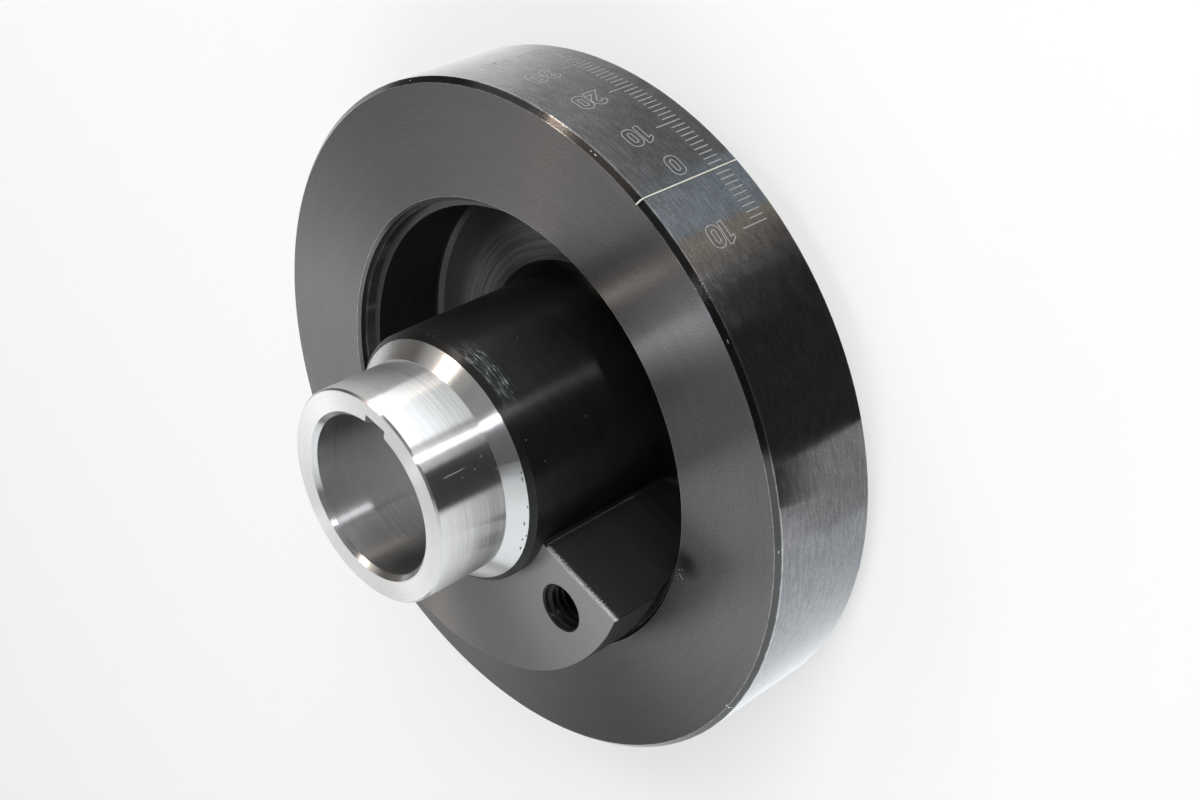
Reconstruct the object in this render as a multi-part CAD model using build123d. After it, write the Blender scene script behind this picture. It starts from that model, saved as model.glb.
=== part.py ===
from build123d import *
import math
import os

# Harmonic balancer: an inertia ring carried on a keyed hub by a bonded rubber band.
# Millimetres. +Z runs along the crankshaft, from the pulley side up to the engine side.
# The origin is on the axis, in the hub's front face that the pulley bolts against.
# The counterweight segment points along -Y.

# Inertia ring
ring_diameter = 165.1
ring_width = 30.0
ring_edge_chamfer = 1.2
lip_bore_diameter = 109.8
lip_thickness = 2.1
lip_edge_chamfer = 0.7

# Rubber band between the ring and the hub, and the crown that stops it walking
rubber_thickness = 3.2
rubber_flange_thickness = 2.4
rubber_flange_inset = 0.8
rubber_front_recess = 1.2
crown_height = 1.6
crown_length = 15.0

# Timing scale, cut into the ring's rim and read against a pointer on the engine
mark_depth = 0.25
mark_width = 0.4
mark_pitch_angle = 1.0
mark_end_from_front = 4.5
short_mark_length = 4.0
long_mark_length = 7.1
marks_per_long_mark = 10
marks_before_zero = 10
marks_after_zero = 40
zero_mark_angle = 35.2
zero_mark_width = 0.55
cutter_margin = 1.0

# Hub: pulley seat, web and cup
seat_height = 5.0
seat_diameter = 92.0
seat_edge_chamfer = 0.8
web_thickness = 10.5
cup_bore_diameter = 104.6
cup_wall = 4.0
cup_front_chamfer = 0.8
pocket_corner_chamfer = 1.1

# Hub: barrel and snout
barrel_diameter = 60.4
barrel_root_radius = 3.9
shoulder_height_above_ring = 22.95
seal_diameter = 50.8
seal_length = 18.0
snout_edge_chamfer = 0.45
bore_diameter = 38.1
bore_edge_chamfer = 1.1

# Crankshaft key and the seat of the front bolt's washer
key_width = 6.35
key_depth = 2.8
key_angle = 52.0
washer_seat_diameter = 50.0
washer_seat_depth = 6.0
washer_seat_chamfer = 0.6

# Counterweight segment
weight_height_above_ring = 14.9
weight_clearance_in_lip = 0.2
weight_half_angle = 44.5
weight_centre_angle = -90.0
weight_skirt_length = 11.2
weight_edge_break = 0.3
weight_root_fillet = 1.2
edge_search_tolerance = 0.01

# Tapped hole in the counterweight, at its thread's major diameter
tap_circle_radius = 42.3
tap_angle = -62.0
tap_diameter = 11.1
tap_mouth_diameter = 11.9
tap_depth = 24.0
drill_point_angle = 118.0

# Blind tapped holes for the pulley bolts, at their thread's major diameter
pulley_circle_diameter = 76.2
pulley_hole_count = 4
pulley_hole_start_angle = 45.0
pulley_hole_diameter = 9.5
pulley_mouth_diameter = 10.3
pulley_hole_floor = 2.3

# Places worked out from the sizes above
ring_front = seat_height
ring_rear = ring_front + ring_width
ring_radius = ring_diameter / 2
lip_radius = lip_bore_diameter / 2
lip_underside = ring_rear - lip_thickness
rim_end = lip_underside - rubber_flange_thickness
cup_bore_radius = cup_bore_diameter / 2
cup_radius = cup_bore_radius + cup_wall
ring_bore_radius = cup_radius + rubber_thickness
crown_middle = (ring_front + rim_end) / 2
barrel_radius = barrel_diameter / 2
seal_radius = seal_diameter / 2
shoulder_top = ring_rear + shoulder_height_above_ring
shoulder_bottom = shoulder_top - (barrel_radius - seal_radius)
snout_end = shoulder_top + seal_length
bore_radius = bore_diameter / 2
washer_seat_radius = washer_seat_diameter / 2
seat_radius = seat_diameter / 2
weight_radius = lip_radius - weight_clearance_in_lip
weight_top = ring_rear + weight_height_above_ring
weight_skirt_end = weight_top - weight_skirt_length
full_turn = 360.0


def revolved(outline, arc=full_turn, start_angle=0.0):
    """Turn a chain of lines and arcs, drawn as radius and height, about the crankshaft axis."""
    with BuildPart() as turned:
        with BuildSketch(Plane.XZ):
            with BuildLine():
                outline()
            make_face()
        revolve(axis=Axis.Z, revolution_arc=arc)
    return Rot(0, 0, start_angle) * turned.part


def crown(base_radius):
    """The shallow barrel shape that the cup, the rubber and the ring's bore share."""
    ends = (crown_middle - crown_length / 2, crown_middle + crown_length / 2)
    ThreePointArc(
        (base_radius, ends[0]),
        (base_radius + crown_height, crown_middle),
        (base_radius, ends[1]),
    )
    return ends


def ring_outline():
    lower, upper = crown(ring_bore_radius)
    Polyline(
        (ring_bore_radius, upper),
        (ring_bore_radius, lip_underside),
        (lip_radius, lip_underside),
        (lip_radius, ring_rear - lip_edge_chamfer),
        (lip_radius + lip_edge_chamfer, ring_rear),
        (ring_radius - ring_edge_chamfer, ring_rear),
        (ring_radius, ring_rear - ring_edge_chamfer),
        (ring_radius, ring_front + ring_edge_chamfer),
        (ring_radius - ring_edge_chamfer, ring_front),
        (ring_bore_radius + lip_edge_chamfer, ring_front),
        (ring_bore_radius, ring_front + lip_edge_chamfer),
        (ring_bore_radius, lower),
    )


def timing_mark(width, outline):
    """A cutter of the given width, drawn as radius and height and standing on the X axis."""
    with BuildPart() as cutter:
        with BuildSketch(Plane.XZ):
            with BuildLine():
                Polyline(*outline, close=True)
            make_face()
        extrude(amount=width / 2, both=True)
    return cutter.part


def scale_mark(length):
    """One line of the scale, running back from its end near the ring's front."""
    inner, outer = ring_radius - mark_depth, ring_radius + cutter_margin
    start = ring_front + mark_end_from_front
    outline = [(inner, start), (outer, start), (outer, start + length), (inner, start + length)]
    return timing_mark(mark_width, outline)


def zero_mark():
    """The zero line: the rim's whole width, and over the chamfer at the rear."""
    inner, outer = ring_radius - mark_depth, ring_radius + cutter_margin
    below, above = ring_front - cutter_margin, ring_rear + cutter_margin
    bend_height = ring_rear - ring_edge_chamfer - mark_depth * math.tan(math.radians(22.5))
    face_radius = ring_radius - ring_edge_chamfer - mark_depth * math.sqrt(2)
    outline = [
        (inner, below),
        (outer, below),
        (outer, above),
        (face_radius, above),
        (face_radius, ring_rear),
        (inner, bend_height),
    ]
    return timing_mark(zero_mark_width, outline)


def timing_scale():
    cutters = [Rot(0, 0, zero_mark_angle) * zero_mark()]
    for step in range(-marks_before_zero, marks_after_zero + 1):
        if step == 0:
            continue
        is_long = step % marks_per_long_mark == 0
        mark = scale_mark(long_mark_length if is_long else short_mark_length)
        cutters.append(Rot(0, 0, zero_mark_angle + step * mark_pitch_angle) * mark)
    return cutters


def make_ring():
    return revolved(ring_outline) - timing_scale()


def rubber_outline():
    front = ring_front + rubber_front_recess
    flange_radius = lip_radius - rubber_flange_inset
    lower, upper = crown(cup_radius)
    Polyline(
        (cup_radius, upper),
        (cup_radius, rim_end),
        (flange_radius, rim_end),
        (flange_radius, lip_underside),
        (ring_bore_radius, lip_underside),
        (ring_bore_radius, upper),
    )
    crown(ring_bore_radius)
    Polyline(
        (ring_bore_radius, lower),
        (ring_bore_radius, front),
        (cup_radius, front),
        (cup_radius, lower),
    )


def hub_outline():
    lower, upper = crown(cup_radius)
    root_centre = (barrel_radius + barrel_root_radius, web_thickness + barrel_root_radius)
    root_middle = (
        root_centre[0] - barrel_root_radius * math.cos(math.radians(45)),
        root_centre[1] - barrel_root_radius * math.sin(math.radians(45)),
    )
    Polyline(
        (cup_radius, upper),
        (cup_radius, rim_end),
        (cup_bore_radius, rim_end),
        (cup_bore_radius, web_thickness + pocket_corner_chamfer),
        (cup_bore_radius - pocket_corner_chamfer, web_thickness),
        (root_centre[0], web_thickness),
    )
    ThreePointArc((root_centre[0], web_thickness), root_middle, (barrel_radius, root_centre[1]))
    Polyline(
        (barrel_radius, root_centre[1]),
        (barrel_radius, shoulder_bottom),
        (seal_radius, shoulder_top),
        (seal_radius, snout_end - snout_edge_chamfer),
        (seal_radius - snout_edge_chamfer, snout_end),
        (bore_radius + bore_edge_chamfer, snout_end),
        (bore_radius, snout_end - bore_edge_chamfer),
        (bore_radius, washer_seat_depth),
        (washer_seat_radius, washer_seat_depth),
        (washer_seat_radius, washer_seat_chamfer),
        (washer_seat_radius + washer_seat_chamfer, 0),
        (seat_radius - seat_edge_chamfer, 0),
        (seat_radius, seat_edge_chamfer),
        (seat_radius, ring_front),
        (cup_radius - cup_front_chamfer, ring_front),
        (cup_radius, ring_front + cup_front_chamfer),
        (cup_radius, lower),
    )


def weight_outline():
    """Section of the counterweight, from inside the barrel's wall out to its skirt."""
    buried_radius = (bore_radius + barrel_radius) / 2
    buried_height = web_thickness / 2
    Polyline(
        (buried_radius, buried_height),
        (cup_bore_radius, buried_height),
        (cup_bore_radius, rim_end),
        (weight_radius, weight_skirt_end),
        (weight_radius, weight_top - weight_edge_break),
        (weight_radius - weight_edge_break, weight_top),
        (buried_radius, weight_top),
        (buried_radius, buried_height),
    )


def key_slot():
    """The key's slot, from the washer seat out through the snout's end."""
    length = snout_end - washer_seat_depth
    reach = bore_radius + key_depth
    slot = Pos(reach / 2, 0, washer_seat_depth + length / 2) * Box(reach, key_width, length)
    return Rot(0, 0, key_angle) * slot


def tapped_hole(diameter, mouth_diameter, depth):
    """A hole that opens upward at z = 0, with its countersunk mouth."""
    sink = (mouth_diameter - diameter) / 2
    hole = Pos(0, 0, -depth / 2) * Cylinder(diameter / 2, depth)
    mouth = Pos(0, 0, -sink / 2) * Cone(diameter / 2, mouth_diameter / 2, sink)
    return hole + mouth


def weight_hole():
    """The counterweight's tapped hole, which ends in the cone that the drill left."""
    hole = tapped_hole(tap_diameter, tap_mouth_diameter, tap_depth)
    point_height = tap_diameter / 2 / math.tan(math.radians(drill_point_angle / 2))
    point = Cone(0, tap_diameter / 2, point_height)
    hole += Pos(0, 0, -tap_depth - point_height / 2) * point
    return Rot(0, 0, tap_angle) * Pos(tap_circle_radius, 0, weight_top) * hole


def pulley_holes():
    """The ring of blind tapped holes in the front face, facing down."""
    depth = web_thickness - pulley_hole_floor
    hole = Rot(180, 0, 0) * tapped_hole(pulley_hole_diameter, pulley_mouth_diameter, depth)
    holes = []
    for number in range(pulley_hole_count):
        angle = pulley_hole_start_angle + number * full_turn / pulley_hole_count
        holes.append(Rot(0, 0, angle) * Pos(pulley_circle_diameter / 2, 0, 0) * hole)
    return holes


def weight_root_edges(body):
    """The two upright edges where the counterweight's ends meet the barrel."""
    found = []
    for edge in body.edges().filter_by(Axis.Z):
        middle = edge.position_at(0.5)
        radius = math.hypot(middle.X, middle.Y)
        on_barrel = math.isclose(radius, barrel_radius, abs_tol=edge_search_tolerance)
        if on_barrel and web_thickness < middle.Z < weight_top:
            found.append(edge)
    return found


def weight_end_edges(body):
    """The two straight edges between the counterweight's face and its ends."""
    on_face = body.edges().filter_by_position(
        Axis.Z, weight_top - edge_search_tolerance, weight_top + edge_search_tolerance
    )
    return on_face.filter_by(GeomType.LINE)


def make_hub():
    start_angle = weight_centre_angle - weight_half_angle
    turned = revolved(hub_outline)
    weight = revolved(weight_outline, 2 * weight_half_angle, start_angle)
    hub = turned + chamfer(weight_end_edges(weight), weight_edge_break)
    hub = fillet(weight_root_edges(hub), weight_root_fillet)
    hub -= key_slot()
    hub -= weight_hole()
    for hole in pulley_holes():
        hub -= hole
    return hub


def main():
    parts = {
        "inertia_ring": make_ring(),
        "elastomer_ring": revolved(rubber_outline),
        "hub": make_hub(),
    }
    os.makedirs("parts", exist_ok=True)
    for name, shape in parts.items():
        export_step(shape, f"parts/{name}.step")
        box = shape.bounding_box()
        print(f"{name}: volume {shape.volume:.0f}, height {box.min.Z:.2f} to {box.max.Z:.2f}")


main()
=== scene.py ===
# %% [markdown]
# # A harmonic balancer, dressed for its picture
# The balancer bolts to the nose of an engine's crankshaft and calms its twisting. A heavy
# ring hangs on a band of rubber around a steel hub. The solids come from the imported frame,
# and this lesson gives them their finishes, their engraved numbers, their threads and light.

# %% Load the frame
import math
import random

import bmesh
import bpy
from mathutils import Matrix, Vector


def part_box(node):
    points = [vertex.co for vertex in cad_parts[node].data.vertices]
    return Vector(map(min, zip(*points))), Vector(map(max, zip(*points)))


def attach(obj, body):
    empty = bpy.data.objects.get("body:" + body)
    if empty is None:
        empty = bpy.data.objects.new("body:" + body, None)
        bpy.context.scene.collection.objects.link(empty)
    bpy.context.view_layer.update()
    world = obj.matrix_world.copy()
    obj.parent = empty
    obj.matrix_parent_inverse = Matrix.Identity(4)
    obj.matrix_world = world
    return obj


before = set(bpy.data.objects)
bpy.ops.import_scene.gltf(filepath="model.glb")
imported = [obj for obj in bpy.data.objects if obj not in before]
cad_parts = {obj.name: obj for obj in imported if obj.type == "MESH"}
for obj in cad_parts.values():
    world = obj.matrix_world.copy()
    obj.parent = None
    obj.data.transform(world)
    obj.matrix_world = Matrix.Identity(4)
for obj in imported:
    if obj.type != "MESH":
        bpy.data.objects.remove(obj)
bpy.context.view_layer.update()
BODY = "root"
MM = 0.001
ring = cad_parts["inertia_ring"]
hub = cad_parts["hub"]
rubber_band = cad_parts["elastomer_ring"]
print("solids:", sorted(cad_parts))

# %% [markdown]
# ## Sizes that the looks need
# A finish has to know where one machined surface ends and the next begins. The frame gives
# the boxes of the solids, so the outermost radii and heights are read from them. The rest are
# the real sizes of edges that a box can't tell, such as the chamfers.

# %% Read the main sizes
ring_low, ring_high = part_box("inertia_ring")
RING_RADIUS = ring_high.x
RING_FRONT = ring_low.z
RING_REAR = ring_high.z
SNOUT_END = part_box("hub")[1].z
RING_CHAMFER = 1.2 * MM
LIP_RADIUS = 54.9 * MM
LIP_CHAMFER = 0.7 * MM
CUP_RADIUS = 52.3 * MM
CUP_RIM = 30.5 * MM
POCKET_FLOOR = 10.5 * MM
BARREL_RADIUS = 30.2 * MM
SEAL_RADIUS = 25.4 * MM
SHOULDER_TOP = 57.95 * MM
BORE_RADIUS = 19.05 * MM
WEIGHT_TOP = 49.9 * MM
WEIGHT_SIDE = -45.5
print(f"ring radius {RING_RADIUS:.5f}, rear face {RING_REAR:.4f}, snout end {SNOUT_END:.5f}")

# %% [markdown]
# ## The camera
# A picture's camera can be found from the circles that it shows: each circle turns into an
# ellipse that depends on where the camera stood. The place and the three directions below
# are the outcome, in metres, for a picture of 1200 by 800 pixels.

# %% Place the camera
CAMERA_PLACE = Vector((0.339194, 0.089898, 0.270623))
CAMERA_RIGHT = Vector((0.63674302, -0.29040645, -0.71429855))
CAMERA_DOWN = Vector((-0.02180486, -0.93277694, 0.35979402))
CAMERA_AHEAD = Vector((-0.77076771, -0.21352115, -0.60027148))
LENS_MM = 54.78
SENSOR_MM = 36.0

camera_data = bpy.data.cameras.new("camera")
camera_data.lens = LENS_MM
camera_data.sensor_width = SENSOR_MM
camera_data.clip_start = 0.01
camera = bpy.data.objects.new("camera", camera_data)
bpy.context.scene.collection.objects.link(camera)
turn = Matrix((CAMERA_RIGHT, -CAMERA_DOWN, -CAMERA_AHEAD)).transposed()
camera.matrix_world = Matrix.Translation(CAMERA_PLACE) @ turn.to_4x4()
bpy.context.scene.camera = camera
bpy.context.scene.view_settings.view_transform = "Standard"
print("camera stands", round(CAMERA_PLACE.length, 3), "m from the part's origin")

# %% [markdown]
# ## Helpers for nodes
# A material is a small network. These helpers add one node, set its values and link its
# inputs in one call, so that each recipe below reads from top to bottom. A link is made
# wherever a value is a socket, and a plain number or colour is set on the input itself.

# %% Node helpers
def feed(tree, socket, value):
    """Link a value that is a socket, and set any other as the input's own."""
    if isinstance(value, bpy.types.NodeSocket):
        tree.links.new(value, socket)
    else:
        socket.default_value = value


def add(tree, kind, inputs=None, **settings):
    """Add one node with its settings, and feed its inputs by their names or numbers."""
    made = tree.nodes.new("ShaderNode" + kind)
    for name, value in settings.items():
        setattr(made, name, value)
    for key, value in (inputs or {}).items():
        feed(tree, made.inputs[key], value)
    return made


def calc(tree, operation, *values, clamp=False):
    made = add(tree, "Math", dict(enumerate(values)), operation=operation, use_clamp=clamp)
    return made.outputs[0]


def times(tree, first, *others):
    """The product of two or more values."""
    for other in others:
        first = calc(tree, "MULTIPLY", first, other)
    return first


def plus(tree, first, second):
    return calc(tree, "ADD", first, second)


def minus(tree, first, second):
    return calc(tree, "SUBTRACT", first, second)


print("helpers ready for single nodes")

# %% Helpers for masks and mixes
def smooth_step(tree, value, low, high):
    """0 where the value is under low, 1 over high, and a smooth rise between them."""
    inputs = {"Value": value, "From Min": low, "From Max": high}
    return add(tree, "MapRange", inputs, interpolation_type="SMOOTHSTEP").outputs["Result"]


def between(tree, value, low, high, soft):
    """1 where the value lies between two bounds, fading over a soft margin."""
    rise = smooth_step(tree, value, low - soft, low + soft)
    fall = smooth_step(tree, value, high - soft, high + soft)
    return times(tree, rise, minus(tree, 1.0, fall))


def mix_of(tree, data_type, kind, share, first, second):
    """A Mix node has sockets of the same name for every type, so they are found by both."""
    made = add(tree, "Mix", data_type=data_type)
    for name, value, wanted in (("Factor", share, "VALUE"), ("A", first, kind), ("B", second, kind)):
        feed(tree, next(s for s in made.inputs if s.name == name and s.type == wanted), value)
    return next(s for s in made.outputs if s.type == kind)


def mix_number(tree, share, first, second):
    return mix_of(tree, "FLOAT", "VALUE", share, first, second)


def mix_colour(tree, share, first, second):
    """The first colour is a socket, the second is red, green and blue."""
    return mix_of(tree, "RGBA", "RGBA", share, first, (*second, 1.0))


def tinted(tree, tone, green=1.0, blue=1.0):
    """A colour made of one tone, with its green and its blue scaled."""
    scaled = [tone if share == 1.0 else times(tree, tone, share) for share in (green, blue)]
    return add(tree, "CombineColor", {0: tone, 1: scaled[0], 2: scaled[1]}).outputs[0]


print("helpers ready for masks and mixes")

# %% Helpers for groups
def new_group(name, inputs, outputs):
    """A shader node group with named number inputs, given with their usual values."""
    group = bpy.data.node_groups.new(name, "ShaderNodeTree")
    for label, value in inputs.items():
        socket = group.interface.new_socket(label, in_out="INPUT", socket_type="NodeSocketFloat")
        socket.default_value = value
    for label in outputs:
        group.interface.new_socket(label, in_out="OUTPUT", socket_type="NodeSocketFloat")
    return group, group.nodes.new("NodeGroupInput"), group.nodes.new("NodeGroupOutput")


def use_group(tree, group, inputs=None):
    return add(tree, "Group", inputs, node_tree=group)


print("helpers ready for groups")

# %% [markdown]
# ## Where a point lies on turned work
# Nearly every surface of the balancer was cut on a lathe, so its marks follow circles. This
# group turns the object's own coordinates into the three numbers a turner would use: the
# distance from the axis, the angle around it and the height along it.

# %% Group: lathe place
lathe_place, group_in, group_out = new_group("lathe_place", {}, ["Radius", "Angle", "Height"])
x, y, z = add(lathe_place, "SeparateXYZ", {0: add(lathe_place, "TexCoord").outputs["Object"]}).outputs
squares = plus(lathe_place, times(lathe_place, x, x), times(lathe_place, y, y))
feed(lathe_place, group_out.inputs["Radius"], calc(lathe_place, "SQRT", squares))
feed(lathe_place, group_out.inputs["Angle"], calc(lathe_place, "ARCTAN2", y, x))
feed(lathe_place, group_out.inputs["Height"], z)


def at_angle(radius, angle_deg, height):
    """The same three numbers turned back into a point, or at radius 1 into a direction."""
    around = math.radians(angle_deg)
    return (radius * math.cos(around), radius * math.sin(around), height)


def lathe_numbers(tree):
    """The radius, the angle and the height of the point that is being shaded."""
    where = use_group(tree, lathe_place)
    return [where.outputs[name] for name in ("Radius", "Angle", "Height")]


print("group ready:", lathe_place.name)

# %% [markdown]
# ## Turning marks
# A lathe tool leaves a very fine spiral. Seen close it is a stack of thin lines with uneven
# depth, and each line fades in and out around the circle. A noise stretched hard along the
# angle makes such lines. It is read at two scales, a fine one for the bump and a broad one
# for slow changes of tone.

# %% Group: turning marks
BROAD_SHARE = 0.16

turning_marks, group_in, group_out = new_group(
    "turning_marks",
    {"Across": 0.0, "Angle": 0.0, "Lines per mm": 3.0, "Wander": 1.5},
    ["Fine", "Broad"],
)
across_mm = times(turning_marks, group_in.outputs["Across"], 1000.0)
# The sine and cosine of the angle close the pattern round the circle without a seam.
sine, cosine = (times(turning_marks, calc(turning_marks, wave, group_in.outputs["Angle"]),
                      group_in.outputs["Wander"]) for wave in ("SINE", "COSINE"))
for label, share, detail in (("Fine", 1.0, 2.0), ("Broad", BROAD_SHARE, 3.0)):
    lines = times(turning_marks, across_mm, times(turning_marks, group_in.outputs["Lines per mm"], share))
    place = add(turning_marks, "CombineXYZ", {0: lines, 1: sine, 2: cosine})
    noise = add(turning_marks, "TexNoise",
                {"Vector": place.outputs[0], "Scale": 1.0, "Detail": detail, "Roughness": 0.6},
                noise_dimensions="3D")
    feed(turning_marks, group_out.inputs[label], noise.outputs["Fac"])


def marks_of(tree, across, angle, lines_per_mm, wander):
    """The fine and the broad marks of a surface that was cut with a feed of its own."""
    made = use_group(tree, turning_marks, {
        "Across": across, "Angle": angle, "Lines per mm": lines_per_mm, "Wander": wander})
    return made.outputs["Fine"], made.outputs["Broad"]


print("group ready:", turning_marks.name)

# %% [markdown]
# ## A worn edge, and its painted highlight
# Where two turned surfaces meet, handling rubs the black finish thin, and a hairline of
# bright metal shows. The same pale hairline also paints the highlight that a rounded edge
# catches. The edge is a circle, so its place is a radius and a height, and the group
# measures how near a point lies to it. A noise breaks the line up.

# %% Group: worn edge
BREAKS_PER_RADIAN = 9.0

worn_edge_and_highlight, group_in, group_out = new_group(
    "worn_edge_and_highlight",
    {"Radius": 0.0, "Height": 0.0, "Angle": 0.0, "Edge radius": 0.0, "Edge height": 0.0, "Width": 0.0002},
    ["Mask"],
)
across = minus(worn_edge_and_highlight, group_in.outputs["Radius"], group_in.outputs["Edge radius"])
along = minus(worn_edge_and_highlight, group_in.outputs["Height"], group_in.outputs["Edge height"])
squares = plus(worn_edge_and_highlight, times(worn_edge_and_highlight, across, across), times(worn_edge_and_highlight, along, along))
distance = calc(worn_edge_and_highlight, "SQRT", squares)
turned = times(worn_edge_and_highlight, group_in.outputs["Angle"], BREAKS_PER_RADIAN)
breaks = add(worn_edge_and_highlight, "TexNoise", {"W": turned, "Scale": 3.0, "Detail": 4.0}, noise_dimensions="1D")
local_width = times(worn_edge_and_highlight, group_in.outputs["Width"], times(worn_edge_and_highlight, breaks.outputs["Fac"], 2.0))
shares = calc(worn_edge_and_highlight, "DIVIDE", distance, local_width)
feed(worn_edge_and_highlight, group_out.inputs["Mask"], calc(worn_edge_and_highlight, "SUBTRACT", 1.0, shares, clamp=True))
print("group ready:", worn_edge_and_highlight.name)

# %% [markdown]
# ## Fine grain
# Under the turning marks the black finish has its own grain, a dust of crystals a few
# hundredths of a millimetre across. It gives satin metal its soft sparkle. The same group
# also gives slow cloudy stains for the places where oil or a hand has been.

# %% Group: metal grain
CLOUDS_PER_MM = 0.045

metal_grain, group_in, group_out = new_group("metal_grain", {"Grain per mm": 9.0}, ["Grain", "Cloud"])
in_mm = add(metal_grain, "VectorMath",
            {0: add(metal_grain, "TexCoord").outputs["Object"], 1: (1000.0, 1000.0, 1000.0)},
            operation="MULTIPLY").outputs[0]
grain = add(metal_grain, "TexNoise", {
    "Vector": in_mm, "Scale": group_in.outputs["Grain per mm"], "Detail": 1.0})
cloud = add(metal_grain, "TexNoise", {
    "Vector": in_mm, "Scale": CLOUDS_PER_MM, "Detail": 5.0, "Roughness": 0.55})
feed(metal_grain, group_out.inputs["Grain"], grain.outputs["Fac"])
feed(metal_grain, group_out.inputs["Cloud"], cloud.outputs["Fac"])


def grain_of(tree, grain_per_mm):
    made = use_group(tree, metal_grain, {"Grain per mm": grain_per_mm})
    return made.outputs["Grain"], made.outputs["Cloud"]


print("group ready:", metal_grain.name)

# %% [markdown]
# ## Starting a material
# Blackened steel still mirrors like metal, only darker, so every metal here has Metallic at
# or near 1 and its colour is what it gives back of a white room. Turned metal stretches
# highlights across its marks. The Tangent node says which way the marks run, a quarter turn
# of the rotation sets the stretch across them, and Anisotropic says how strong it is.

# %% Material helpers
ACROSS_THE_MARKS = 0.25


def new_material(name, metallic=0.0):
    material = bpy.data.materials.new(name)
    material.use_nodes = True
    shader = material.node_tree.nodes["Principled BSDF"]
    shader.inputs["Metallic"].default_value = metallic
    return material, material.node_tree, shader


def new_metal(name, anisotropy):
    material, tree, shader = new_material(name, metallic=1.0)
    shader.inputs["Anisotropic"].default_value = anisotropy
    shader.inputs["Anisotropic Rotation"].default_value = ACROSS_THE_MARKS
    tangent = add(tree, "Tangent", direction_type="RADIAL", axis="Z")
    feed(tree, shader.inputs["Tangent"], tangent.outputs[0])
    return material, tree, shader


def finish_surface(tree, shader, colour, roughness, height, depth_mm):
    """Feed a material's colour, roughness and bump; the bump's depth is in millimetres."""
    bump = add(tree, "Bump", {"Height": height, "Strength": 1.0, "Distance": depth_mm * MM})
    feed(tree, shader.inputs["Base Color"], colour)
    feed(tree, shader.inputs["Roughness"], roughness)
    feed(tree, shader.inputs["Normal"], bump.outputs[0])


def grainy_finish(name, grain_per_mm, tones, tint, roughness, depth_mm, metallic=0.0, cloudy=False):
    """The finish of a small piece: its grain sets the tone, the roughness and the bump."""
    material, tree, shader = new_material(name, metallic)
    grain, cloud = grain_of(tree, grain_per_mm)
    colour = tinted(tree, mix_number(tree, cloud if cloudy else grain, *tones), *tint)
    finish_surface(tree, shader, colour, mix_number(tree, grain, *roughness), grain, depth_mm)
    return material


print("metals stretch their highlights by a turn of", ACROSS_THE_MARKS)


# %% [markdown]
# ## The ring's finish
# The ring is turned iron, blackened in a hot bath. Its faces are satin. Its rim was handled
# more, so it mirrors better, and its coarser marks show as streaks along the circle. A patch
# of painted shade darkens the face beside the counterweight's corner, for the shadow and the
# dark reflection that the counterweight puts there. Masks made from the radius and the height
# say where each surface begins, so one material can serve them all.

# %% Ring: its surfaces and marks
CHAMFER_SUM = RING_RADIUS + RING_REAR - RING_CHAMFER

ring_black, tree, shader = new_metal("blackened_ring", anisotropy=0.95)
radius, angle, height = lathe_numbers(tree)
grain, cloud = grain_of(tree, 2.4)
on_rim = smooth_step(tree, radius, RING_RADIUS - 0.25 * MM, RING_RADIUS - 0.05 * MM)
on_chamfer = smooth_step(tree, plus(tree, radius, height), CHAMFER_SUM - 0.12 * MM, CHAMFER_SUM - 0.02 * MM)
face_fine, face_broad = marks_of(tree, radius, angle, 2.6, 2.2)
rim_fine, rim_broad = marks_of(tree, height, angle, 1.7, 20.0)
fine = mix_number(tree, on_rim, face_fine, rim_fine)
broad = mix_number(tree, on_rim, face_broad, rim_broad)
print("ring masks:", len(tree.nodes), "nodes")

# %% Ring: its tone
FACE_TONES = (0.145, 0.175)
RIM_TONES = (0.13, 0.19)
CHAMFER_TONE = 0.10
# Painted shade beside the counterweight's corner: its centre, its reach and how far it darkens.
PAINTED_SHADE_PLACE = at_angle(58.2 * MM, -33.5, RING_REAR)
PAINTED_SHADE_RADIUS = 5.5 * MM
PAINTED_SHADE_FACTOR = 0.42

face_tone = times(tree, mix_number(tree, broad, *FACE_TONES), mix_number(tree, fine, 0.90, 1.10))
rim_tone = times(tree, mix_number(tree, broad, *RIM_TONES),
                 mix_number(tree, smooth_step(tree, fine, 0.30, 0.70), 0.84, 1.16))
tone = mix_number(tree, on_rim, face_tone, rim_tone)
tone = times(tree, tone, mix_number(tree, smooth_step(tree, grain, 0.25, 0.75), 0.84, 1.16))
tone = mix_number(tree, on_chamfer, tone, CHAMFER_TONE)
# Painted shade: one spot of the face beside the counterweight is darkened, standing in for the
# counterweight's shadow and dark reflection there.
own_place = add(tree, "TexCoord").outputs["Object"]
from_painted_shade = add(tree, "VectorMath", {0: own_place, 1: PAINTED_SHADE_PLACE}, operation="DISTANCE").outputs["Value"]
painted_shade = smooth_step(tree, plus(tree, from_painted_shade, times(tree, cloud, 2 * MM)),
                     PAINTED_SHADE_RADIUS, 0.3 * PAINTED_SHADE_RADIUS)
tone = times(tree, tone, mix_number(tree, painted_shade, 1.0, PAINTED_SHADE_FACTOR))
black = tinted(tree, tone, mix_number(tree, on_rim, 0.97, 1.0), mix_number(tree, on_rim, 0.955, 1.04))
print("ring tone:", len(tree.nodes), "nodes")

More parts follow.
